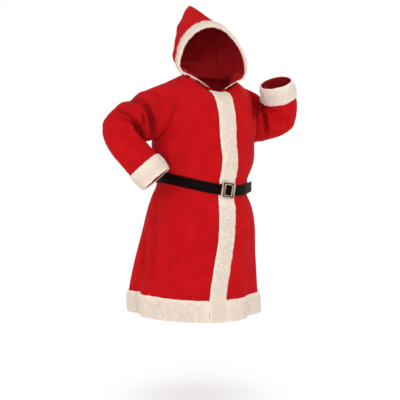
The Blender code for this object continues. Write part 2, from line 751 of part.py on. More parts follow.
def build_hood():
    """The two halves of the hood, sewn over the crown and down the back, and the fur of its edge."""
    levels = HOOD_LEVELS
    for name, side in (("hood_left", 1.0), ("hood_right", -1.0)):

        def surface(across, level):
            return hood_point(side, side * across, level)

        def seam(across, level):
            share = side * across
            if level == levels[0]:
                return neck_normal(side * hood_neck_angle(share))
            if share > 0.999 or level > 0.999:  # mitred in the plane of the seam
                step = 0.01
                if level > 0.999:
                    low, high = share - step, min(1.0, share + step)
                    run = hood_point(side, high, 1.0) - hood_point(side, low, 1.0)
                    up = Vector((0.0, -run.z, run.y))
                else:
                    run = surface(across, level + step) - surface(across, level - step)
                    up = Vector((0.0, run.z, -run.y))
                return up.normalized()
            return None

        across = HOOD_SHARES if side > 0 else [-s for s in reversed(HOOD_SHARES)]
        points, normals = surface_grid(surface, across, levels, seam_normal=seam)
        inner = offset_grid(points, normals, -CLOTH)
        for grid in (points, inner):
            for level, row in zip(levels, grid):
                for i, point in enumerate(row):
                    point.x = side * max(side * point.x, SEAM_GAP / 2)
                    row[i] = hood_turned(point, level)
        layered(name, points, inner, False, RED, 0.9)

    # The fur runs from the throat over the forehead and down again.
    rows = HOOD_LEVELS[1:]
    rows += [2.0 - level for level in reversed(rows[:-1])]
    across = [-1.0, -0.5, *HOOD_SHARES[: FUR_EDGE + 1]]
    facets = {
        side: faceted(lambda u, v: hood_point(side, u, v), HOOD_SHARES, levels) for side in (1.0, -1.0)
    }

    def level_of(row):
        return row if row <= 1.0 else 2.0 - row

    def surface(share, row):
        level = level_of(row)
        if share < 0.0:  # past the edge of the cloth
            share *= HOOD_FUR_OVERHANG / 0.30 * smooth_step(level / 0.2)
        return facets[1.0 if row <= 1.0 else -1.0](share, level)

    points, normals = surface_grid(surface, across, rows)
    base = offset_grid(points, normals, 1.5 * LAYER_GAP)
    thicknesses = [
        HOOD_FUR_THICKNESS * (0.2 + 0.8 * smooth_step(level_of(row) / 0.28)) for row in rows
    ]
    depths = fur_depths(thicknesses, len(across))
    top = offset_grid(base, normals, depths)
    for grid in (base, top):
        for row, line in zip(rows, grid):
            side = 1.0 if row <= 1.0 else -1.0
            for i, point in enumerate(line):
                if level_of(row) < 0.5:
                    point.x = side * max(side * point.x, 2 * SEAM_GAP)
                line[i] = hood_turned(point, level_of(row))
    layered("hood_fur", top, base, False, CREAM, 0.95)


def build_belt():
    """The strap, once round the waist and on past the buckle, and the buckle."""
    over_fur = 2 * LAYER_GAP + PRESSED_FUR_THICKNESS
    over_strap = BELT_THICKNESS + LAYER_GAP
    rows = [BELT_HEIGHT - BELT_WIDTH / 2, BELT_HEIGHT + BELT_WIDTH / 2]
    front = [90.0 * column_share(c, BELT_HEIGHT) for c in range(FRONT_COLUMNS + 1)]
    behind = spread(90.0, 270.0, 2 * BACK_COLUMNS + 1)[1:-1]
    once = [2.0, *front[1:], *behind, *[360.0 - a for a in reversed(front[1:])]]
    twice = [360.0 + a for a in front if a < BELT_TAIL_ANGLE - 4.0] + [360.0 + BELT_TAIL_ANGLE]
    fur_edge = front[FUR_EDGE]
    half_width = BUCKLE_WIDTH / 2

    def rise(angle):
        """How far out from the coat the inside of the strap is."""
        away = abs((angle + 180.0) % 360.0 - 180.0)
        out = over_fur if away < fur_edge + 0.01 else LAYER_GAP
        if angle > 360.0 - front[1] - 0.01:
            out += over_strap
            out += BELT_TAIL_LIFT * smooth_step((angle - 360.0 - BELT_TAIL_ANGLE + 26.0) / 30.0)
        return out

    def narrowing(angle):
        left = 360.0 + BELT_TAIL_ANGLE - angle
        return 1.0 if left > 6.0 else 0.55 + 0.45 * math.sqrt(max(0.0, left / 6.0))

    angles = once + twice
    tip = 360.0 + BELT_TAIL_ANGLE
    angles = angles[:-1] + [tip - 4.0, tip - 1.5, tip]
    inner, outer = [], []
    for height in rows:
        inner_row, outer_row = [], []
        for angle in angles:
            level = BELT_HEIGHT + (height - BELT_HEIGHT) * narrowing(angle)
            inner_row.append(body_point(level, angle, rise(angle)))
            outer_row.append(body_point(level, angle, rise(angle) + BELT_THICKNESS))
        inner.append(inner_row)
        outer.append(outer_row)
    layered("belt_strap", outer, inner, False, BLACK, 0.45)

    # The buckle: a rectangle of flat rails with a raised rim on both sides, bent to the waist.
    metres_per_degree = (body_point(BELT_HEIGHT, 1.0) - body_point(BELT_HEIGHT, 0.0)).length
    lean = Matrix.Rotation(-math.radians(BUCKLE_LEAN), 2)

    def buckle_point(x, z, out):
        turned = lean @ Vector((x, z))
        return body_point(BELT_HEIGHT + turned.y, turned.x / metres_per_degree, out)

    back_of_frame = over_fur + 2 * over_strap
    profile = [  # across the rail from its outer edge to its inner edge, and up from its back
        (0.00, 0.0),
        (0.00, 0.75),
        (0.06, 1.0),
        (0.30, 1.0),
        (0.38, 0.6),
        (0.62, 0.6),
        (0.70, 1.0),
        (0.94, 1.0),
        (1.00, 0.75),
        (1.00, 0.0),
    ]
    shape = bmesh.new()
    loops = []
    for across, up in profile:
        x = half_width - BUCKLE_SIDE_RAIL * across
        z = BUCKLE_HEIGHT / 2 - BUCKLE_TOP_RAIL * across
        round_off = 0.006 * (1.0 - across) + 0.002 * across
        corners = []
        for sx, sz in ((1, -1), (1, 1), (-1, 1), (-1, -1)):
            turns = [0.0, 45.0, 90.0] if sx * sz > 0 else [90.0, 45.0, 0.0]
            for turn in turns:
                cosine, sine = math.cos(math.radians(turn)), math.sin(math.radians(turn))
                corner_x = sx * (x - round_off + round_off * cosine)
                corner_z = sz * (z - round_off + round_off * sine)
                corners.append((corner_x, corner_z))
            if sx > 0 and sz < 0:
                corners.append((x, 0.0))
            elif sx < 0 and sz > 0:
                corners.append((-x, 0.0))
            else:
                corners += [(sx * x * share, sz * z) for share in (0.5, 0.0, -0.5)]
        out = back_of_frame + BUCKLE_THICKNESS * up
        loops.append([shape.verts.new(buckle_point(cx, cz, out)) for cx, cz in corners])
    for ring, following in zip(loops, loops[1:] + loops[:1]):
        for i in range(len(ring)):
            k = (i + 1) % len(ring)
            shape.faces.new((ring[i], ring[k], following[k], following[i]))
    bmesh.ops.recalc_face_normals(shape, faces=shape.faces)
    frame = finished("buckle", shape, OLD_BRASS, 0.35, 1.0)

    # A bar behind the strap, with legs to the top and bottom rails.
    bar_back, leg_in = over_fur, BELT_WIDTH / 2 + 0.0015
    leg_out = leg_in + 0.0045
    leg_top = back_of_frame + 0.3 * BUCKLE_THICKNESS
    bar_top = over_fur + BELT_THICKNESS - LAYER_GAP
    side = [
        (leg_out, bar_back),
        (leg_out, leg_top),
        (leg_in, leg_top),
        (leg_in, bar_top),
        (-leg_in, bar_top),
        (-leg_in, leg_top),
        (-leg_out, leg_top),
        (-leg_out, bar_back),
        (-leg_in, bar_back),
        (leg_in, bar_back),
    ]
    shape = bmesh.new()
    walls = []
    for x in (-BUCKLE_BAR / 2, BUCKLE_BAR / 2):
        walls.append([shape.verts.new(buckle_point(x, z, out)) for z, out in side])
    for wall in walls:
        for order in ((0, 1, 2, 3, 9), (4, 5, 6, 7, 8), (3, 4, 8, 9)):
            shape.faces.new([wall[i] for i in order])
    for i in range(len(side)):
        k = (i + 1) % len(side)
        shape.faces.new((walls[0][i], walls[0][k], walls[1][k], walls[1][i]))
    bmesh.ops.recalc_face_normals(shape, faces=shape.faces)
    bar = finished("buckle_bar", shape, OLD_BRASS, 0.35, 1.0)
    union = frame.modifiers.new("bar", "BOOLEAN")
    union.operation, union.solver, union.object = "UNION", "EXACT", bar
    bpy.context.view_layer.update()
    joined = bpy.data.meshes.new_from_object(frame.evaluated_get(bpy.context.evaluated_depsgraph_get()))
    frame.modifiers.clear()
    frame.data = joined
    bpy.data.objects.remove(bar, do_unlink=True)


for old in list(bpy.data.objects):
    bpy.data.objects.remove(old, do_unlink=True)
suit = bpy.data.collections.new("santa_suit")
bpy.context.scene.collection.children.link(suit)
build_body()
build_sleeves()
build_hood()
build_belt()
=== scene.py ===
import math

import bmesh
import bpy
import numpy as np
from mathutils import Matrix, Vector, noise
from mathutils.bvhtree import BVHTree
from mathutils.kdtree import KDTree


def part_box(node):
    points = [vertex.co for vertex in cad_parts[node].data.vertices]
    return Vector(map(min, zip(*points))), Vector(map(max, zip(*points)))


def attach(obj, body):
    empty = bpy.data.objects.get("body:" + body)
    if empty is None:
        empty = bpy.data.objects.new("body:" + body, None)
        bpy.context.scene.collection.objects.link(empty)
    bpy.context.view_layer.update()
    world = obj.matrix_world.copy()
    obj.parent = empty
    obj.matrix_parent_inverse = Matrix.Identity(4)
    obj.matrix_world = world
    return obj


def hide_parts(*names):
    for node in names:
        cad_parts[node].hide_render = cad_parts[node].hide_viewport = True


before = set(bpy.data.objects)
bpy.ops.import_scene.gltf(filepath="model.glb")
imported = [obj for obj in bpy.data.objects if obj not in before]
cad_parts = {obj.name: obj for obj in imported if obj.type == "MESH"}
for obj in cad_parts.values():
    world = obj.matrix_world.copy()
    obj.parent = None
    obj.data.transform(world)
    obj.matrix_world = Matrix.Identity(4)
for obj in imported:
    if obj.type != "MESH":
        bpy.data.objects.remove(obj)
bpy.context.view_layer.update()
print("frame loaded")

# camera, floor and light

studio = {
    "cameraPlace": (-2.0, -3.4641, -0.59),
    "cameraTurn": (90.0, 0.0, -30.0),
    "lens": 74.25,
    "shiftX": -0.015,
    "floorHeight": -1.52,  # under the soles of a wearer
    "floorSize": 30.0,
    "floorColour": (1.0, 1.0, 1.0, 1.0),
    "skyColour": (1.0, 1.0, 1.0, 1.0),
    "skyStrength": 1.0,
    # name, place, what it shines at, size, power
    "lights": [
        ("keyLight", (-3.4, -4.2, 1.6), (0, 0, -0.5), 1.8, 60),
        ("fillLight", (1.4, -4.6, 0.6), (0, 0, -0.5), 2.6, 16),
        ("backLight", (1.6, 3.4, 2.2), (0, 0, -0.3), 2.2, 20),
    ],
}


def placeCamera():
    lens = bpy.data.cameras.new("studioCamera")
    lens.lens = studio["lens"]
    lens.shift_x = studio["shiftX"]
    lens.clip_end = 100.0
    camera = bpy.data.objects.new("studioCamera", lens)
    camera.location = studio["cameraPlace"]
    camera.rotation_euler = [math.radians(turn) for turn in studio["cameraTurn"]]
    bpy.context.scene.collection.objects.link(camera)
    bpy.context.scene.camera = camera


def softLight(name, place, aim, size, power):
    lamp = bpy.data.lights.new(name, "AREA")
    lamp.shape = "SQUARE"
    lamp.size = size
    lamp.energy = power
    light = bpy.data.objects.new(name, lamp)
    light.location = place
    light.rotation_euler = (Vector(aim) - Vector(place)).to_track_quat("-Z", "Y").to_euler()
    bpy.context.scene.collection.objects.link(light)


def layFloor():
    shape = bmesh.new()
    half = studio["floorSize"] / 2
    bmesh.ops.create_grid(shape, x_segments=1, y_segments=1, size=half)
    bmesh.ops.translate(shape, verts=shape.verts, vec=(0, 0, studio["floorHeight"]))
    mesh = bpy.data.meshes.new("studioFloor")
    shape.to_mesh(mesh)
    shape.free()
    floor = bpy.data.objects.new("studioFloor", mesh)
    paint = bpy.data.materials.new("studioFloor")
    paint.use_nodes = True
    shader = paint.node_tree.nodes["Principled BSDF"]
    shader.inputs["Base Color"].default_value = studio["floorColour"]
    shader.inputs["Roughness"].default_value = 1.0
    shader.inputs["Specular IOR Level"].default_value = 0.0
    mesh.materials.append(paint)
    bpy.context.scene.collection.objects.link(floor)


def lightStudio():
    world = bpy.data.worlds.new("studioSky")
    world.use_nodes = True
    sky = world.node_tree.nodes["Background"]
    sky.inputs["Color"].default_value = studio["skyColour"]
    sky.inputs["Strength"].default_value = studio["skyStrength"]
    bpy.context.scene.world = world
    for light in studio["lights"]:
        softLight(*light)


bpy.context.scene.view_settings.view_transform = "Standard"
placeCamera()
layFloor()
lightStudio()
print("camera and studio placed")

# What the cloth does between its main forms. A fold is a soft trough along a line of points beside it, or
# a ridge where its depth is negative. Its width is from its middle to where it fades out. All in metres.
drape = {
    "wave": 0.0020,  # the slow unevenness of the whole cloth
    "waveLength": 0.115,
    "waveSeed": 5,
    "beltHeight": -0.547,  # at the buckle, and how the belt slopes and rises round the waist
    "beltCentre": -0.03,
    "beltTilt": -0.06,
    "beltRise": 0.050,
    "beltRiseTurn": 100.0,
    "beltHold": 0.030,  # this close to its middle the belt holds the cloth still
    "beltEase": 0.045,
    "troughFall": 1.9,  # how fast a trough gets shallow sideways, in shares of its width
    "shoulder": (0.30, 1.15, 0.42),  # the low rise beside it: its height, how far out, how wide
    "endFade": 0.7,  # how blunt a fold's two ends are, 1 for a long fade
    "fullCrease": 0.014,  # from this depth on, the trough gets the full painted shade in the plush's colour
    # the hood's crown is fuller than its solids: a little from its first height up, much near its blunt tip
    "crownHeights": (0.220, 0.270),
    "crownRises": (0.050, 0.090),
    "crownFullness": (0.16, 1.60),
    "crownFarShare": 0.35,  # how much of the tip's fullness is on the wearer's left
    "crownLean": 0.012,  # how far the tip leans to the wearer's right
    "crownBlunt": (0.012, 0.008),  # and how far its last stretch is pressed down
    "crownTop": (-0.006, 0.146, 0.384),
    "crownAcross": (0.985, -0.174, 0.0),
    "folds": [
        # the wearer's right armhole, from the shoulder down to the armpit
        ([(-0.366, -0.060, -0.126), (-0.357, -0.078, -0.164), (-0.345, -0.088, -0.201),
          (-0.332, -0.088, -0.238), (-0.321, -0.080, -0.279), (-0.309, -0.050, -0.315)], 0.026, 0.021),
        ([(-0.286, -0.040, -0.085), (-0.299, -0.078, -0.128), (-0.299, -0.097, -0.175),
          (-0.298, -0.098, -0.225)], 0.024, 0.007),
        # over the top of the arm, and the point of the elbow
        ([(-0.395, 0.085, -0.130), (-0.402, 0.030, -0.098), (-0.398, -0.030, -0.120),
          (-0.385, -0.060, -0.160)], 0.050, 0.014),
        ([(-0.535, 0.040, -0.180), (-0.556, 0.000, -0.235), (-0.546, -0.040, -0.290)], 0.065, -0.006),
        ([(-0.245, -0.090, -0.100), (-0.262, -0.125, -0.160), (-0.262, -0.150, -0.230)], 0.022, -0.005),
        # inside the right elbow
        ([(-0.478, 0.010, -0.170), (-0.455, -0.040, -0.192), (-0.430, -0.066, -0.213),
          (-0.398, -0.078, -0.233)], 0.016, 0.012),
        ([(-0.486, -0.030, -0.213), (-0.452, -0.061, -0.226), (-0.423, -0.073, -0.240),
          (-0.392, -0.073, -0.262)], 0.015, 0.010),
        ([(-0.425, -0.074, -0.226), (-0.404, -0.074, -0.258), (-0.380, -0.063, -0.282),
          (-0.355, -0.044, -0.308)], 0.024, 0.026),
        ([(-0.386, -0.068, -0.178), (-0.377, -0.082, -0.212), (-0.374, -0.080, -0.240),
          (-0.386, -0.072, -0.262)], 0.014, 0.013),
        ([(-0.440, -0.020, -0.160), (-0.418, -0.050, -0.180), (-0.392, -0.068, -0.196)], 0.014, 0.005),
        ([(-0.480, -0.060, -0.262), (-0.450, -0.076, -0.268), (-0.415, -0.074, -0.285)], 0.016, 0.005),
        ([(-0.400, -0.020, -0.140), (-0.375, -0.050, -0.140), (-0.362, -0.072, -0.165)], 0.018, 0.005),
        # behind the right arm
        ([(-0.335, 0.070, -0.100), (-0.345, 0.100, -0.160), (-0.335, 0.105, -0.220)], 0.024, 0.010),
        ([(-0.420, 0.090, -0.190), (-0.455, 0.095, -0.225), (-0.480, 0.085, -0.270)], 0.018, 0.006),
        ([(-0.400, 0.085, -0.230), (-0.430, 0.080, -0.280), (-0.450, 0.060, -0.320)], 0.018, 0.007),
        ([(-0.500, 0.060, -0.210), (-0.520, 0.040, -0.250), (-0.515, 0.010, -0.300)], 0.016, 0.004),
        ([(-0.395, 0.030, -0.390), (-0.370, -0.020, -0.410), (-0.350, -0.060, -0.400)], 0.018, 0.006),
        ([(-0.470, 0.000, -0.370), (-0.440, 0.000, -0.410), (-0.420, -0.030, -0.450)], 0.018, -0.004),
        # the wearer's left armhole and sleeve
        ([(0.220, -0.085, -0.075), (0.219, -0.105, -0.120), (0.216, -0.120, -0.158),
          (0.216, -0.130, -0.202)], 0.022, 0.022),
        ([(0.257, -0.030, -0.313), (0.313, -0.060, -0.306), (0.368, -0.100, -0.289)], 0.040, 0.010),
        ([(0.380, -0.130, -0.275), (0.405, -0.150, -0.240), (0.412, -0.160, -0.200)], 0.050, -0.006),
        ([(0.205, -0.080, -0.075), (0.196, -0.112, -0.120), (0.184, -0.137, -0.162),
          (0.172, -0.156, -0.205)], 0.026, 0.018),
        ([(0.235, -0.090, -0.085), (0.250, -0.112, -0.135), (0.248, -0.136, -0.182),
          (0.258, -0.131, -0.230), (0.285, -0.100, -0.275)], 0.020, 0.017),
        ([(0.222, -0.157, -0.090), (0.240, -0.166, -0.128), (0.264, -0.165, -0.166)], 0.015, 0.007),
        ([(0.262, -0.100, -0.080), (0.285, -0.120, -0.110), (0.290, -0.150, -0.140),
          (0.285, -0.180, -0.160)], 0.016, 0.008),
        ([(0.300, -0.090, -0.075), (0.322, -0.125, -0.100), (0.322, -0.165, -0.120)], 0.016, 0.006),
        ([(0.345, -0.080, -0.270), (0.380, -0.110, -0.275), (0.410, -0.150, -0.250)], 0.020, 0.005),
        ([(0.360, -0.180, -0.250), (0.340, -0.205, -0.200), (0.335, -0.215, -0.150)], 0.018, 0.005),
        ([(0.250, 0.060, -0.080), (0.275, 0.085, -0.140), (0.275, 0.080, -0.215)], 0.024, 0.010),
        ([(0.340, 0.020, -0.120), (0.370, -0.010, -0.160), (0.375, -0.020, -0.220)], 0.020, 0.007),
        ([(0.300, 0.040, -0.260), (0.330, 0.010, -0.290), (0.350, -0.040, -0.305)], 0.020, 0.007),
        ([(0.390, -0.090, -0.110), (0.400, -0.110, -0.150), (0.395, -0.125, -0.195)], 0.018, 0.004),
        # the cloth hangs from the armpits and gathers a little above the belt
        ([(-0.262, 0.010, -0.325), (-0.275, -0.030, -0.370), (-0.268, -0.085, -0.415)], 0.024, 0.009),
        ([(0.232, 0.010, -0.330), (0.240, -0.050, -0.370), (0.205, -0.125, -0.410)], 0.024, 0.008),
        ([(-0.262, 0.040, -0.325), (-0.255, 0.090, -0.370), (-0.220, 0.130, -0.410)], 0.024, 0.010),
        ([(0.230, 0.040, -0.325), (0.220, 0.090, -0.370), (0.180, 0.130, -0.415)], 0.024, 0.009),
        ([(-0.247, -0.090, -0.455), (-0.255, -0.085, -0.425), (-0.262, -0.070, -0.390)], 0.017, 0.005),
        ([(-0.205, -0.160, -0.485), (-0.215, -0.165, -0.450), (-0.218, -0.160, -0.410)], 0.020, 0.005),
        ([(-0.140, -0.215, -0.505), (-0.150, -0.225, -0.470), (-0.145, -0.235, -0.430)], 0.020, 0.004),
        ([(0.090, -0.215, -0.500), (0.100, -0.225, -0.465), (0.105, -0.225, -0.420)], 0.020, 0.004),
        ([(0.170, -0.120, -0.480), (0.190, -0.125, -0.445), (0.200, -0.120, -0.400)], 0.018, 0.006),
        ([(-0.190, 0.110, -0.455), (-0.200, 0.125, -0.415), (-0.195, 0.135, -0.370)], 0.020, 0.007),
        ([(-0.130, 0.145, -0.460), (-0.130, 0.165, -0.420), (-0.120, 0.180, -0.365)], 0.020, 0.006),
        ([(-0.060, 0.165, -0.460), (-0.055, 0.185, -0.415), (-0.060, 0.195, -0.350)], 0.022, 0.007),
        ([(0.015, 0.165, -0.465), (0.020, 0.185, -0.425), (0.010, 0.195, -0.380)], 0.018, 0.006),
        ([(0.080, 0.145, -0.470), (0.085, 0.165, -0.425), (0.090, 0.175, -0.365)], 0.020, 0.007),
        ([(0.140, 0.100, -0.475), (0.155, 0.120, -0.430), (0.160, 0.130, -0.385)], 0.018, 0.006),
        # across the shoulders at the back
        ([(-0.210, 0.090, -0.120), (-0.130, 0.125, -0.160), (-0.040, 0.145, -0.175)], 0.026, 0.005),
        ([(0.200, 0.090, -0.110), (0.120, 0.125, -0.165), (0.040, 0.145, -0.190)], 0.026, 0.005),
        ([(-0.150, 0.050, -0.045), (-0.120, 0.090, -0.075), (-0.080, 0.115, -0.100)], 0.022, -0.004),
        # the skirt, between its large folds
        ([(-0.275, -0.020, -0.560), (-0.300, -0.050, -0.680), (-0.325, -0.090, -0.840),
          (-0.345, -0.118, -0.990)], 0.032, 0.008),
        ([(-0.320, -0.005, -0.740), (-0.342, -0.019, -0.870), (-0.372, -0.070, -0.995)], 0.026, 0.007),
        ([(-0.155, -0.208, -0.600), (-0.170, -0.222, -0.720), (-0.180, -0.230, -0.850)], 0.030, 0.004),
        ([(0.120, -0.195, -0.580), (0.135, -0.200, -0.700), (0.130, -0.210, -0.860)], 0.026, 0.005),
        ([(0.185, -0.100, -0.540), (0.205, -0.110, -0.640), (0.215, -0.120, -0.780)], 0.022, 0.007),
        ([(0.205, 0.010, -0.545), (0.230, 0.010, -0.650), (0.250, 0.020, -0.800)], 0.024, 0.007),
        ([(0.140, 0.100, -0.555), (0.165, 0.120, -0.650), (0.185, 0.140, -0.760)], 0.022, 0.007),
        ([(0.040, 0.165, -0.560), (0.050, 0.190, -0.660), (0.055, 0.220, -0.800)], 0.024, 0.006),
        ([(-0.060, 0.165, -0.560), (-0.065, 0.190, -0.650), (-0.075, 0.215, -0.760)], 0.022, 0.006),
        ([(-0.160, 0.125, -0.550), (-0.180, 0.150, -0.650), (-0.195, 0.175, -0.790)], 0.024, 0.007),
        ([(-0.235, 0.050, -0.545), (-0.260, 0.070, -0.640), (-0.280, 0.080, -0.760)], 0.022, 0.006),
        # the hood stands full where it lies on the shoulders
        ([(-0.180, -0.060, 0.045), (-0.165, -0.060, 0.015), (-0.145, -0.075, -0.010),
          (-0.130, -0.100, -0.040)], 0.045, -0.013),
        ([(0.152, -0.115, 0.040), (0.146, -0.105, 0.004), (0.117, -0.106, -0.013)], 0.040, -0.009),
        # where it bunches behind the neck and falls from the crown
        ([(-0.120, 0.030, 0.055), (-0.080, 0.105, 0.085), (0.000, 0.125, 0.090),
          (0.075, 0.100, 0.080)], 0.028, 0.008),
        ([(-0.150, 0.010, 0.095), (-0.115, 0.100, 0.125), (-0.040, 0.135, 0.135)], 0.028, -0.004),
        ([(0.110, 0.040, 0.060), (0.125, 0.060, 0.110), (0.120, 0.075, 0.170)], 0.018, 0.006),
        ([(-0.140, 0.000, 0.110), (-0.160, 0.020, 0.170), (-0.145, 0.050, 0.240)], 0.020, 0.006),
        ([(-0.110, 0.080, 0.200), (-0.080, 0.090, 0.270), (-0.050, 0.090, 0.330)], 0.018, 0.005),
        ([(0.085, 0.090, 0.200), (0.060, 0.095, 0.270), (0.020, 0.090, 0.330)], 0.018, 0.005),
    ],
}
noise.seed_set(drape["waveSeed"])  # so that every run draws the same wave


def levelShare(value):
    share = np.clip(value, 0.0, 1.0)
    return share * share * (3.0 - 2.0 * share)


def beltMiddle(points):
    # the height of the belt's middle beside each point
    turned = np.degrees(np.abs(np.arctan2(points[:, 0] - drape["beltCentre"], -points[:, 1])))
    middle = drape["beltHeight"] + drape["beltTilt"] * points[:, 0]
    return middle + drape["beltRise"] * levelShare(turned / drape["beltRiseTurn"])


def heldByBelt(points):
    away = np.abs(points[:, 2] - beltMiddle(points))
    return levelShare((away - drape["beltHold"]) / drape["beltEase"])


def laidFold(line):
    # the line's points on the cloth itself, each with the direction into the cloth
    points, pushes = [], []
    for point in line:
        place, normal = nearestOf(wallTrees, Vector(point))[:2]
        points.append(place)
        pushes.append(-normal)
    return np.array(points), np.array(pushes)


def foldedBy(points, line, pushes, width, depth):
    # how far each point is pushed by one fold, most in the middle of its length
    steps = np.diff(line, axis=0)
    lengths = np.linalg.norm(steps, axis=1)
    along = np.concatenate([[0.0], np.cumsum(lengths)]) / lengths.sum()
    nearest = np.full(len(points), np.inf)
    place = np.zeros(len(points))
    push = np.zeros((len(points), 3))
    for i, step in enumerate(steps):
        share = np.clip(((points - line[i]) @ step) / (step @ step), 0.0, 1.0)
        away = np.linalg.norm(points - line[i] - share[:, None] * step, axis=1)
        better = away < nearest
        nearest[better] = away[better]
        place[better] = (along[i] + share * (along[i + 1] - along[i]))[better]
        push[better] = (pushes[i] + share[:, None] * (pushes[i + 1] - pushes[i]))[better]
    fade = np.sin(np.pi * np.clip(place, 0.03, 0.97)) ** drape["endFade"]
    across = nearest / width
    trough = np.exp(-((drape["troughFall"] * across) ** 2))
    high, out, wide = drape["shoulder"]
    shoulder = high * np.exp(-(((across - out) / wide) ** 2))
    # the second result is how much painted shade the fold's trough gets, more for a deeper fold
    crease = trough * fade * (max(depth, 0.0) / drape["fullCrease"]) ** 2
    return push * (depth * (trough - shoulder) * fade)[:, None], crease


def draped(points):
    # everything follows from where the cloth is, so that pieces stay together at their seams; the second
    # result says how far in a trough each point lies, and so how much painted shade the plush gets there
    scale = 1.0 / drape["waveLength"]
    moves = drape["wave"] * np.array([noise.noise_vector(Vector(p) * scale) for p in points])
    creases = np.zeros(len(points))
    for line, pushes, width, depth in laidFolds:
        low, high = line.min(0) - 2 * width, line.max(0) + 2 * width
        near = np.all((points > low) & (points < high), axis=1)
        if near.any():
            pushed, crease = foldedBy(points[near], line, pushes, width, depth)
            moves[near] += pushed
            creases[near] += np.minimum(crease, 1.0)
    # the crown, wider to both sides of its seam
    across = np.array(drape["crownAcross"])
    side, tip = ((points[:, 2] - low) / rise for low, rise in zip(drape["crownHeights"], drape["crownRises"]))
    sideways = (points - drape["crownTop"]) @ across
    lean = np.where(sideways > 0, drape["crownFarShare"], 1.0)
    crown = drape["crownFullness"][0] * levelShare(side)
    crown += drape["crownFullness"][1] * lean * np.clip(tip, 0, 1.3) ** 3
    leaning = drape["crownLean"] * np.clip(tip, 0, 1.1) ** 2
    moves += (crown * sideways - leaning)[:, None] * across
    stretch, pressed = drape["crownBlunt"]
    moves[:, 2] -= pressed * levelShare((points[:, 2] - drape["crownTop"][2]) / stretch + 1.0)
    free = heldByBelt(points)
    return points + moves * free[:, None], np.clip(creases, 0.0, 1.0) * free


def meshPoints(mesh):
    points = np.zeros(len(mesh.vertices) * 3)
    mesh.vertices.foreach_get("co", points)
    return points.reshape(-1, 3)


def meshNormals(mesh):
    normals = np.zeros(len(mesh.vertices) * 3)
    mesh.vertices.foreach_get("normal", normals)
    return normals.reshape(-1, 3)


def nearestOf(trees, point):
    # the nearest place on any of the trees, its normal, its face and how far away it is
    return min((tree.find_nearest(point) for tree in trees), key=lambda hit: hit[3])


def movePoints(mesh, points):
    mesh.vertices.foreach_set("co", points.ravel())
    mesh.update()


def keepValue(mesh, name, values):
    attribute = mesh.attributes.new(name, "FLOAT", "POINT")
    attribute.data.foreach_set("value", np.asarray(values, np.float32))


# materials


def newMaterial(name):
    material = bpy.data.materials.new(name)
    material.use_nodes = True
    return material, material.node_tree, material.node_tree.nodes["Principled BSDF"]


def addNode(tree, kind, inputs=None, **settings):
    node = tree.nodes.new(kind)
    for name, value in settings.items():
        setattr(node, name, value)
    for name, value in (inputs or {}).items():
        node.inputs[name].default_value = value
    return node


def finish(shader, values):
    for socket, value in values.items():
        shader.inputs[socket].default_value = value


def addNoise(tree, scale, detail=2.0, roughness=0.5):
    # a noise on the piece's own coordinates
    place = addNode(tree, "ShaderNodeTexCoord")
    pattern = addNode(tree, "ShaderNodeTexNoise", {"Scale": scale, "Detail": detail, "Roughness": roughness})
    tree.links.new(place.outputs["Object"], pattern.inputs["Vector"])
    return pattern.outputs["Fac"]


def addColours(tree, factor, stops):
    ramp = addNode(tree, "ShaderNodeValToRGB")
    while len(ramp.color_ramp.elements) < len(stops):
        ramp.color_ramp.elements.new(0.5)
    for element, (at, colour) in zip(ramp.color_ramp.elements, stops):
        element.position = at
        element.color = (*colour, 1.0)
    tree.links.new(factor, ramp.inputs["Fac"])
    return ramp.outputs["Color"]


def addBump(tree, height, relief, before=None):
    # the relief is its strength and its depth
    strength, distance = relief
    bump = addNode(tree, "ShaderNodeBump", {"Strength": strength, "Distance": distance})
    tree.links.new(height, bump.inputs["Height"])
    if before:
        tree.links.new(before, bump.inputs["Normal"])
    return bump.outputs["Normal"]


plush = {
    "deep": (0.40, 0.0030, 0.005),
    "middle": (0.445, 0.0036, 0.006),
    "bright": (0.49, 0.0050, 0.008),
    "finish": {
        "Roughness": 0.90,
        "Specular IOR Level": 0.07,
        "Sheen Weight": 0.05,
        "Sheen Roughness": 0.45,
        "Sheen Tint": (1.0, 0.16, 0.16, 1.0),
    },
    "back": ((0.26, 0.004, 0.007), (0.34, 0.006, 0.010)),  # the wrong side, darker and lighter
    "backFinish": {"Roughness": 0.92, "Specular IOR Level": 0.12},
    "backShade": 25.0,
    "knitSize": 900.0,
    "knitRelief": (0.3, 0.0004),
    "shadeSize": 14.0,  # patches in a metre
    "pressed": (0.115, 0.0008, 0.0016),  # painted shade: the colour the plush darkens towards in the trough of a fold
    "creaseShadeShare": 0.66,
    "napSize": 620.0,  # pile tips in a metre
    "napRelief": (0.5, 0.0006),
    "clumpSize": 150.0,
    "clumpRelief": (0.35, 0.0012),
}


def plushMaterial():
    material, tree, shader = newMaterial("redPlush")
    patches = addNoise(tree, plush["shadeSize"], 4.0, 0.6)
    stops = [(0.30, plush["deep"]), (0.5, plush["middle"]), (0.72, plush["bright"])]
    colour = addColours(tree, patches, stops)
    # painted shade: the colour goes darker where the cloth lies in the trough of a fold
    crease = addNode(tree, "ShaderNodeAttribute", attribute_name="crease")
    share = addNode(tree, "ShaderNodeMath", operation="MULTIPLY")
    tree.links.new(crease.outputs["Fac"], share.inputs[0])
    share.inputs[1].default_value = plush["creaseShadeShare"]
    mixed = addNode(tree, "ShaderNodeMixRGB", {"Color2": (*plush["pressed"], 1.0)})
    tree.links.new(share.outputs["Value"], mixed.inputs["Fac"])
    tree.links.new(colour, mixed.inputs["Color1"])
    tree.links.new(mixed.outputs["Color"], shader.inputs["Base Color"])
    clumps = addBump(tree, addNoise(tree, plush["clumpSize"], 3.0), plush["clumpRelief"])
    tips = addBump(tree, addNoise(tree, plush["napSize"], 2.0), plush["napRelief"], clumps)
    tree.links.new(tips, shader.inputs["Normal"])
    finish(shader, plush["finish"])
    return material


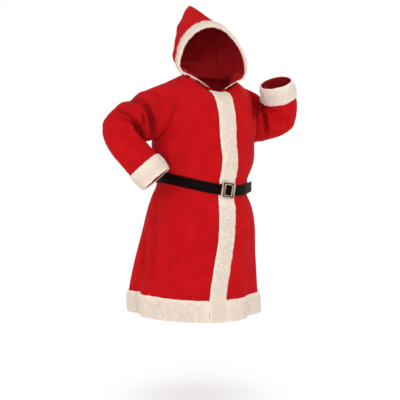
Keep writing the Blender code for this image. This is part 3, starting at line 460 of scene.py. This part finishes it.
def backingMaterial():
    # the wrong side of the plush, a fine flat knit
    material, tree, shader = newMaterial("plushBacking")
    darker, lighter = plush["back"]
    colour = addColours(tree, addNoise(tree, plush["backShade"], 3.0), [(0.3, darker), (0.7, lighter)])
    tree.links.new(colour, shader.inputs["Base Color"])
    knit = addBump(tree, addNoise(tree, plush["knitSize"], 1.0), plush["knitRelief"])
    tree.links.new(knit, shader.inputs["Normal"])
    finish(shader, plush["backFinish"])
    return material


fur = {
    "root": (0.82, 0.69, 0.58),
    "middle": (0.94, 0.84, 0.74),
    "tip": (1.0, 0.945, 0.87),
    "skin": 0.66,  # how far out the skin lies, as a share of the reach of the pile
    "lumps": 0.0020,
    "lumpLength": 0.022,
    "fullHeight": 0.007,  # where the skin lies lower than this, the pile is pressed and short
    "joinReach": 0.002,
    "joinShare": 0.8,  # each end goes this far towards the other, so that they close
    "joinCrease": 0.45,  # how square the ends stay, 1 for no groove between two pieces
    "streak": 0.0060,  # the pile lies in fine streaks along its comb, this far apart
    "streakShare": 0.55,
    "streakStretch": 0.88,
    "spacing": 0.0030,
    "clearOfCloth": 0.006,
    "clearOfBelt": 0.010,
    "shortest": 0.35,
    "length": 0.0072,
    "strandRadius": 0.00075,
    "lean": 0.75,
    "stray": 0.55,
    "lengthSpread": (0.7, 1.25),
    "shades": (0.05, 0.4, 0.65),  # of a strand's root, middle and tip, from 0 for dark to 1 for light
    "shadeSpread": 0.30,
    "streakShade": 0.45,
    "skinShade": 90.0,
    "tuftSize": 260.0,
    "tuftRelief": (0.8, 0.002),
    "skinFinish": {"Roughness": 0.95, "Specular IOR Level": 0.1},
    "pileFinish": {"Roughness": 0.75, "Specular IOR Level": 0.2, "Sheen Weight": 0.25},
    "seed": 4,
}


def furSkinMaterial():
    material, tree, shader = newMaterial("furSkin")
    patches = addNoise(tree, fur["skinShade"], 4.0, 0.6)
    colour = addColours(tree, patches, [(0.3, fur["root"]), (0.7, fur["middle"])])
    tree.links.new(colour, shader.inputs["Base Color"])
    tufts = addBump(tree, addNoise(tree, fur["tuftSize"], 4.0, 0.65), fur["tuftRelief"])
    tree.links.new(tufts, shader.inputs["Normal"])
    finish(shader, fur["skinFinish"])
    return material


def furPileMaterial():
    # each strand carries its own shade, lighter towards its tip
    material, tree, shader = newMaterial("furPile")
    shade = addNode(tree, "ShaderNodeAttribute", attribute_name="shade")
    stops = [(0.0, fur["root"]), (0.45, fur["middle"]), (1.0, fur["tip"])]
    tree.links.new(addColours(tree, shade.outputs["Fac"], stops), shader.inputs["Base Color"])
    finish(shader, fur["pileFinish"])
    return material


belt = {
    "colour": (0.0050, 0.0014, 0.0016),
    "rubbed": (0.015, 0.007, 0.006),  # along the edges
    "patchSize": 55.0,
    "grainSize": 420.0,
    "grainRelief": (0.35, 0.0003),
    "creaseSize": 70.0,
    "creaseRelief": (0.25, 0.0008),
    "finish": {"Roughness": 0.52, "Specular IOR Level": 0.03},
    "edge": 0.0007,  # how far its edges are rounded
    "rubbedFrom": 0.017,  # from its middle, and over what width the rubbing sets in
    "rubbedWidth": 0.008,
    "acrossLeast": 0.020,  # edges that rise more than this lie across the strap
}


def beltMaterial():
    material, tree, shader = newMaterial("beltLeather")
    wear = addNode(tree, "ShaderNodeAttribute", attribute_name="edge")
    patches = addNoise(tree, belt["patchSize"], 4.0, 0.6)
    worn = addNode(tree, "ShaderNodeMath", operation="MULTIPLY")
    tree.links.new(wear.outputs["Fac"], worn.inputs[0])
    tree.links.new(patches, worn.inputs[1])
    colour = addColours(tree, worn.outputs["Value"], [(0.15, belt["colour"]), (0.75, belt["rubbed"])])
    tree.links.new(colour, shader.inputs["Base Color"])
    grain = addNode(tree, "ShaderNodeTexVoronoi", {"Scale": belt["grainSize"]}, feature="F1")
    place = addNode(tree, "ShaderNodeTexCoord")
    tree.links.new(place.outputs["Object"], grain.inputs["Vector"])
    pebbles = addBump(tree, grain.outputs["Distance"], belt["grainRelief"])
    creases = addBump(tree, addNoise(tree, belt["creaseSize"], 5.0, 0.7), belt["creaseRelief"], pebbles)
    tree.links.new(creases, shader.inputs["Normal"])
    finish(shader, belt["finish"])
    return material


buckle = {
    "raised": (0.40, 0.31, 0.21),
    "worn": (0.58, 0.48, 0.35),
    "sunk": (0.055, 0.036, 0.022),  # tarnish in the channel between its rims
    "spotSize": 260.0,
    "spotShare": 0.45,
    "pitSize": 900.0,
    "pitRelief": (0.25, 0.0002),
    "finish": {"Metallic": 0.85, "Roughness": 0.42},
    "edge": 0.0004,
    "halfSize": (0.034, 0.036),
    "rails": (0.018, 0.0125),  # widths of the side and of the top rail
    "lean": 6.0,
    # across a rail, from its outer edge at 0 to its inner edge at 1: how far the metal is rubbed bright
    "rims": ([0.0, 0.06, 0.22, 0.34, 0.66, 0.78, 0.94, 1.0], [0.75, 1.0, 0.75, 0.0, 0.0, 0.75, 1.0, 0.6]),
}


def buckleMaterial():
    material, tree, shader = newMaterial("oldBrass")
    height = addNode(tree, "ShaderNodeAttribute", attribute_name="raised")
    spots = addNoise(tree, buckle["spotSize"], 5.0, 0.65)
    mixed = addNode(tree, "ShaderNodeMath", operation="MULTIPLY_ADD")
    tree.links.new(spots, mixed.inputs[0])
    mixed.inputs[1].default_value = buckle["spotShare"]
    tree.links.new(height.outputs["Fac"], mixed.inputs[2])
    most = 1.0 + buckle["spotShare"]
    stops = [(0.30, buckle["sunk"]), (0.80, buckle["raised"]), (1.25, buckle["worn"])]
    stops = [(at / most, colour) for at, colour in stops]
    scaled = addNode(tree, "ShaderNodeMath", operation="DIVIDE")
    tree.links.new(mixed.outputs["Value"], scaled.inputs[0])
    scaled.inputs[1].default_value = most
    tree.links.new(addColours(tree, scaled.outputs["Value"], stops), shader.inputs["Base Color"])
    pits = addBump(tree, addNoise(tree, buckle["pitSize"], 3.0), buckle["pitRelief"])
    tree.links.new(pits, shader.inputs["Normal"])
    finish(shader, buckle["finish"])
    return material


materials = {
    "plush": plushMaterial(),
    "backing": backingMaterial(),
    "furSkin": furSkinMaterial(),
    "furPile": furPileMaterial(),
    "belt": beltMaterial(),
    "buckle": buckleMaterial(),
}
print("materials made")

# turning the fixed parts into fine cloth


def nodeShape(node):
    shape = bmesh.new()
    shape.from_mesh(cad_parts[node].data)
    bmesh.ops.remove_doubles(shape, verts=shape.verts, dist=0.00002)
    return shape


def islandsOf(faces):
    # groups of faces that join over edges, the smallest first
    left, islands = set(faces), []
    while left:
        front = [left.pop()]
        island = list(front)
        while front:
            for edge in front.pop().edges:
                for other in edge.link_faces:
                    if other in left:
                        left.discard(other)
                        front.append(other)
                        island.append(other)
        islands.append(island)
    return sorted(islands, key=lambda faces: sum(face.calc_area() for face in faces))


def keepOuterWall(shape, wall):
    # only the rims have edges as long as the wall is thick
    rims = {
        face
        for edge in shape.edges
        if abs(edge.calc_length() - wall) < 0.00003
        for face in edge.link_faces
    }
    outer = set(islandsOf(set(shape.faces) - rims)[-1])
    bmesh.ops.delete(shape, geom=[face for face in shape.faces if face not in outer], context="FACES")


def joinPairs(shape):
    bmesh.ops.join_triangles(
        shape, faces=shape.faces, angle_face_threshold=1.2, angle_shape_threshold=2.0
    )


def refined(mesh, name, levels):
    piece = bpy.data.objects.new(name, mesh)
    bpy.context.scene.collection.objects.link(piece)
    smooth = piece.modifiers.new("smooth", "SUBSURF")
    smooth.levels = smooth.render_levels = levels
    smooth.boundary_smooth = "PRESERVE_CORNERS"
    ready = piece.evaluated_get(bpy.context.evaluated_depsgraph_get())
    fine = bpy.data.meshes.new_from_object(ready)
    piece.modifiers.clear()
    piece.data = fine
    fine.name = name
    bpy.data.meshes.remove(mesh)
    return piece


cloth = {
    "thickness": 0.0025,  # of the wall
    "seamReach": 0.006,  # rims this close to another piece are sewn to it
    "seamGap": 0.0002,
    "sewnWithin": 0.0008,
    "seamEase": 0.012,  # how far from the seam the piece is drawn along
    "allowance": 0.007,  # what lies behind the neighbour, and how deep
    "allowanceDrop": 0.003,
    "cornerAngle": math.radians(140),  # a rim that turns more than this leaves is a corner
    # node: piece, name of the piece, rounds of refinement, cut width and length, cut area
    "pieces": {
        "back": ("coatBack", 2, (0.98, 1.20), 0.82),
        "front_left": ("coatFrontLeft", 2, (0.52, 1.17), 0.445),
        "front_right": ("coatFrontRight", 2, (0.52, 1.17), 0.455),
        "sleeve_left": ("coatSleeveLeft", 3, (0.62, 0.40), 0.213),
        "sleeve_right": ("coatSleeveRight", 3, (0.62, 0.53), 0.294),
        "hood_left": ("hoodLeft", 2, (0.38, 0.48), 0.128),
        "hood_right": ("hoodRight", 2, (0.38, 0.48), 0.134),
    },
}


def outerWall(node):
    shape = nodeShape(node)
    keepOuterWall(shape, cloth["thickness"])
    joinPairs(shape)
    holdCorners(shape)
    return shape


def isCorner(vertex):
    # where the edge of a cut piece turns sharply
    rim = [edge.other_vert(vertex).co - vertex.co for edge in vertex.link_edges if edge.is_boundary]
    return len(rim) == 2 and rim[0].angle(rim[1]) < cloth["cornerAngle"]


def holdCorners(shape):
    # the corners of a cut piece stay where they are when it is refined
    crease = shape.verts.layers.float.new("crease_vert")
    for vertex in filter(isCorner, shape.verts):
        vertex[crease] = 1.0


def isSewn(vertex):
    near = vertex.is_boundary and nearestOf(sewn, vertex.co)[3] < cloth["sewnWithin"]
    return near and not isCorner(vertex)


def closeSeam(mesh):
    # each piece comes right up to the ones it is sewn to, and its first rows follow
    if not sewn:
        return
    shape = bmesh.new()
    shape.from_mesh(mesh)
    moves = []
    for vertex in shape.verts:
        if vertex.is_boundary:
            place, away = nearestOf(sewn, vertex.co)[::3]
            if cloth["seamGap"] < away < cloth["seamReach"]:
                moves.append((vertex.co.copy(), (place - vertex.co) * (1.0 - cloth["seamGap"] / away)))
    shape.free()
    seam = KDTree(len(moves))
    for i, (place, _) in enumerate(moves):
        seam.insert(place, i)
    seam.balance()
    points = meshPoints(mesh)
    for i, point in enumerate(points):
        index, away = seam.find(point)[1:]
        if away < cloth["seamEase"]:
            points[i] += np.array(moves[index][1]) * (1.0 - away / cloth["seamEase"])
    movePoints(mesh, points)


def addAllowance(mesh):
    # the sewn edges go on for a little behind the piece that they are sewn to
    if not sewn:
        return
    shape = bmesh.new()
    shape.from_mesh(mesh)
    rim = set(filter(isSewn, shape.verts))
    edges = [edge for edge in shape.edges if edge.is_boundary and rim.issuperset(edge.verts)]
    moves = {}
    for edge in edges:
        edge.smooth = False
        loop = edge.link_loops[0]
        along = loop.link_loop_next.vert.co - loop.vert.co
        normal = nearestOf(sewn, loop.vert.co + along / 2)[1]
        onward = along.cross(normal).normalized() * cloth["allowance"]
        for vertex in edge.verts:
            move = moves.setdefault(vertex.co.to_tuple(7), [Vector(), 0])
            move[0] += onward
            move[1] += 1
    grown = bmesh.ops.extrude_edge_only(shape, edges=edges)["geom"]
    for vertex in grown:
        if isinstance(vertex, bmesh.types.BMVert):
            move, count = moves[vertex.co.to_tuple(7)]
            place, normal = nearestOf(sewn, vertex.co + move / count)[:2]
            vertex.co = place - normal * cloth["allowanceDrop"]
    shape.to_mesh(mesh)
    shape.free()


def makeClothPiece(node):
    name, rounds, cut, area = cloth["pieces"][node]
    mesh = bpy.data.meshes.new(name)
    walls[node].to_mesh(mesh)
    walls[node].free()
    piece = refined(mesh, name, rounds)
    closeSeam(piece.data)
    sewnShape = bmesh.new()
    sewnShape.from_mesh(piece.data)
    addAllowance(piece.data)
    sewn.append(BVHTree.FromBMesh(sewnShape))
    sewnShape.free()
    points, creases = draped(meshPoints(piece.data))
    movePoints(piece.data, points)
    # how deep in a fold's trough each point lies, which the plush turns into painted shade
    keepValue(piece.data, "crease", creases)
    piece.data.shade_smooth()
    piece.data.materials.clear()
    piece.data.materials.append(materials["plush"])
    piece.data.materials.append(materials["backing"])
    wall = piece.modifiers.new("wall", "SOLIDIFY")
    wall.thickness = cloth["thickness"]
    wall.offset = -1.0
    wall.use_even_offset = False
    wall.material_offset = 1
    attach(piece, "root")
    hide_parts(node)
    return piece


walls = {node: outerWall(node) for node in cloth["pieces"]}
wallTrees = [BVHTree.FromBMesh(wall) for wall in walls.values()]
sewn = []
laidFolds = [(*laidFold(line), width, depth) for line, width, depth in drape["folds"]]
print(len(laidFolds), "folds laid")
clothPieces = {node: makeClothPiece(node) for node in cloth["pieces"]}
print("cloth pieces made")

# fur


def strandGeometry(roots, normals, combs, deep, random, streaks):
    # every strand is a three-sided cone that bends once, with a short first half and a fine tip
    count = len(roots)
    stray = random.normal(size=(count, 3)) * fur["stray"]
    way = normals + combs * fur["lean"] + stray
    way /= np.linalg.norm(way, axis=1)[:, None]
    sideways = np.cross(way, random.normal(size=(count, 3)))
    sideways /= np.linalg.norm(sideways, axis=1)[:, None]
    across = np.cross(way, sideways)
    length = (fur["length"] * deep * random.uniform(*fur["lengthSpread"], count))[:, None]
    middle = roots + way * length * 0.5
    tip = middle + (way + combs * 0.5 - normals * 0.15) * length * 0.5
    angles = np.arange(3) * 2.0 * math.pi / 3.0
    corners = []
    for centre, radius in ((roots - way * 0.0006, 1.0), (middle, 0.85)):
        for angle in angles:
            spoke = sideways * math.cos(angle) + across * math.sin(angle)
            corners.append(centre + spoke * fur["strandRadius"] * radius)
    points = np.stack([*corners, tip], axis=1)
    shades = random.uniform(0.0, fur["shadeSpread"], count) + fur["streakShade"] * streaks
    shades = np.clip(shades[:, None] + np.repeat(fur["shades"], (3, 3, 1)), 0.0, 1.0)
    sides = []
    for i in range(3):
        k = (i + 1) % 3
        sides += [(i, k, 3 + k), (i, 3 + k, 3 + i), (3 + i, 3 + k, 6)]
    faces = (np.arange(count) * 7)[:, None, None] + np.array(sides)[None]
    return points.reshape(-1, 3), faces.reshape(-1, 3), shades.ravel()


def scatter(mesh, spacing, random):
    # places spread evenly over a mesh, by area, with the normals there
    mesh.calc_loop_triangles()
    triangles = np.zeros(len(mesh.loop_triangles) * 3, np.int32)
    mesh.loop_triangles.foreach_get("vertices", triangles)
    triangles = triangles.reshape(-1, 3)
    points = meshPoints(mesh)
    normals = meshNormals(mesh)
    a, b, c = (points[triangles[:, i]] for i in range(3))
    areas = np.linalg.norm(np.cross(b - a, c - a), axis=1) / 2
    wanted = areas / spacing**2
    counts = np.floor(np.cumsum(wanted)).astype(int)
    counts = np.diff(np.concatenate([[0], counts]))
    chosen = np.repeat(np.arange(len(triangles)), counts)
    u, v = random.random((2, len(chosen)))
    over = u + v > 1
    u[over], v[over] = 1 - u[over], 1 - v[over]
    weights = np.stack([1 - u - v, u, v], axis=1)
    places = (points[triangles[chosen]] * weights[:, :, None]).sum(1)
    facing = (normals[triangles[chosen]] * weights[:, :, None]).sum(1)
    facing /= np.linalg.norm(facing, axis=1)[:, None]
    return places, facing


def joinedPile(name, points, faces, shades):
    mesh = bpy.data.meshes.new(name)
    mesh.vertices.add(len(points))
    mesh.vertices.foreach_set("co", points.ravel())
    mesh.loops.add(len(faces) * 3)
    mesh.loops.foreach_set("vertex_index", faces.ravel().astype(np.int32))
    mesh.polygons.add(len(faces))
    mesh.polygons.foreach_set("loop_start", np.arange(0, len(faces) * 3, 3, dtype=np.int32))
    mesh.update(calc_edges=True)
    mesh.validate()
    shade = mesh.attributes.new("shade", "FLOAT", "POINT")
    shade.data.foreach_set("value", shades.astype(np.float32))
    mesh.shade_smooth()
    mesh.materials.append(materials["furPile"])
    pile = bpy.data.objects.new(name, mesh)
    bpy.context.scene.collection.objects.link(pile)
    return pile


furPieces = {
    # node: piece, its pile lies towards, cut width and length, the cloth that it is sewn on
    "hem_fur_back": ("hemFurBack", (0, 0, -1), (0.85, 0.104), ["coatBack"]),
    "hem_fur_left": ("hemFurLeft", (0, 0, -1), (0.36, 0.104), ["coatFrontLeft"]),
    "hem_fur_right": ("hemFurRight", (0, 0, -1), (0.40, 0.104), ["coatFrontRight"]),
    "front_fur": ("frontFur", (0, 0, -1), (0.086, 1.10), ["coatFrontLeft", "coatFrontRight"]),
    "cuff_fur_left": ("cuffFurLeft", (0.2, 0.3, -1), (0.47, 0.090), ["coatSleeveLeft"]),
    "cuff_fur_right": ("cuffFurRight", (0.5, -0.3, -0.7), (0.40, 0.090), ["coatSleeveRight"]),
    "hood_fur": ("hoodFur", (0, -1, -0.4), (0.060, 0.85), ["hoodLeft", "hoodRight"]),
}


def nextFur(point, node):
    # the nearest place on another fur piece, and how far away it is
    return nearestOf([tree for other, tree in furTrees.items() if other != node], point)[::3]


def holdJoins(shape, node):
    # the ends that meet the next fur piece stay square and come right up to it
    crease = shape.edges.layers.float.new("crease_edge")
    moves = {}
    for vertex in shape.verts:
        place, away = nextFur(vertex.co, node)
        if away < fur["joinReach"]:
            moves[vertex] = (place - vertex.co) * fur["joinShare"]
    for edge in shape.edges:
        if edge.verts[0] in moves and edge.verts[1] in moves:
            edge[crease] = fur["joinCrease"]
    for vertex, move in moves.items():
        vertex.co += move


def growPile(skin, comb, random, clothTree, beltTree):
    # no strand grows into the cloth or the belt, and the pile is short where it lies thin
    roots, facing = scatter(skin.data, fur["spacing"], random)
    free, height = [], []
    for root, normal in zip(roots, facing):
        root, normal = Vector(root), Vector(normal)
        inCloth = clothTree.ray_cast(root, normal, fur["clearOfCloth"])[0]
        free.append(not (inCloth or beltTree.ray_cast(root, normal, fur["clearOfBelt"])[0]))
        height.append(clothTree.find_nearest(root)[3])
    free = np.array(free)
    roots, facing = roots[free], facing[free]
    deep = np.clip(np.array(height)[free] / fur["fullHeight"], fur["shortest"], 1.0)
    way = np.array(comb, float) / np.linalg.norm(comb)
    combs = way - facing * (facing @ way)[:, None]
    lanes = (roots - fur["streakStretch"] * (roots @ way)[:, None] * way) / fur["streak"]
    streaks = np.array([noise.noise(Vector(lane)) for lane in lanes])
    deep *= 1.0 + fur["streakShare"] * streaks
    print(skin.name, len(roots), "strands")
    return joinedPile(skin.name + "Pile", *strandGeometry(roots, facing, combs, deep, random, streaks))


def makeFurPiece(node, index, clothTree, beltTree):
    name, comb, cut, carriers = furPieces[node]
    shape = nodeShape(node)
    joinPairs(shape)
    holdJoins(shape, node)
    mesh = bpy.data.meshes.new(name)
    shape.to_mesh(mesh)
    shape.free()
    skin = refined(mesh, name, 2)
    points = draped(meshPoints(skin.data))[0]
    onCloth = np.array([clothTree.find_nearest(Vector(p))[0] for p in points])
    points = onCloth + (points - onCloth) * fur["skin"]
    movePoints(skin.data, points)
    normals = meshNormals(skin.data)
    lumps = np.array([noise.noise(Vector(p) / fur["lumpLength"]) for p in points])
    movePoints(skin.data, points + normals * (fur["lumps"] * lumps)[:, None])
    skin.data.shade_smooth()
    skin.data.materials.clear()
    skin.data.materials.append(materials["furSkin"])
    pile = growPile(skin, comb, np.random.default_rng(fur["seed"] + index), clothTree, beltTree)
    for piece in (skin, pile):
        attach(piece, "root")
    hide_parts(node)


def clothTreeOf(pieces):
    # all of the cloth as one search tree, to keep the pile out of it
    points, faces = [], []
    for piece in pieces:
        start = len(points)
        points += [vertex.co.copy() for vertex in piece.data.vertices]
        faces += [[start + i for i in face.vertices] for face in piece.data.polygons]
    return BVHTree.FromPolygons(points, faces)


clothTree = clothTreeOf(clothPieces.values())
beltTree = clothTreeOf([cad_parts["belt_strap"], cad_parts["buckle"]])
furTrees = {}
for node in furPieces:
    furShape = nodeShape(node)
    furTrees[node] = BVHTree.FromBMesh(furShape)
    furShape.free()
for index, node in enumerate(furPieces):
    makeFurPiece(node, index, clothTree, beltTree)
print("fur made")

# belt and buckle


def bevelled(shape, angle, width):
    sharp = [edge for edge in shape.edges if len(edge.link_faces) == 2 and edge.calc_face_angle() > angle]
    bmesh.ops.bevel(
        shape,
        geom=sharp,
        offset=width,
        segments=2,
        profile=0.5,
        affect="EDGES",
        clamp_overlap=True,
        material=-1,
    )


def makeBelt():
    shape = nodeShape("belt_strap")
    joinPairs(shape)
    across = [
        edge for edge in shape.edges if abs(edge.verts[0].co.z - edge.verts[1].co.z) > belt["acrossLeast"]
    ]
    bmesh.ops.subdivide_edges(shape, edges=across, cuts=5, use_grid_fill=True)
    bevelled(shape, math.radians(60), belt["edge"])
    mesh = bpy.data.meshes.new("beltStrap")
    shape.to_mesh(mesh)
    shape.free()
    strap = refined(mesh, "beltStrap", 2)
    strap.data.shade_smooth()
    points = meshPoints(strap.data)
    away = np.abs(points[:, 2] - beltMiddle(points))
    keepValue(strap.data, "edge", levelShare((away - belt["rubbedFrom"]) / belt["rubbedWidth"]))
    strap.data.materials.clear()
    strap.data.materials.append(materials["belt"])
    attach(strap, "root")
    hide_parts("belt_strap")


def makeBuckle():
    shape = nodeShape("buckle")
    bmesh.ops.dissolve_limit(shape, angle_limit=math.radians(2), verts=shape.verts, edges=shape.edges)
    bevelled(shape, math.radians(24), buckle["edge"])
    bmesh.ops.triangulate(shape, faces=[face for face in shape.faces if len(face.verts) > 4])
    mesh = bpy.data.meshes.new("beltBuckle")
    shape.to_mesh(mesh)
    shape.free()
    low, high = (np.array(corner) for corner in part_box("buckle"))
    away = meshPoints(mesh) - (low + high) / 2
    lean = math.radians(buckle["lean"])
    across = np.abs(away[:, 0] * math.cos(lean) - away[:, 2] * math.sin(lean))
    up = np.abs(away[:, 0] * math.sin(lean) + away[:, 2] * math.cos(lean))
    halfWidth, halfHeight = buckle["halfSize"]
    side, top = buckle["rails"]
    rail = np.minimum((halfWidth - across) / side, (halfHeight - up) / top)
    keepValue(mesh, "raised", np.interp(rail, *buckle["rims"]))
    mesh.shade_smooth()
    mesh.set_sharp_from_angle(angle=math.radians(40))
    piece = bpy.data.objects.new("beltBuckle", mesh)
    bpy.context.scene.collection.objects.link(piece)
    mesh.materials.append(materials["buckle"])
    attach(piece, "root")
    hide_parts("buckle")


makeBelt()
makeBuckle()
print("belt and buckle made")

bpy.context.view_layer.update()
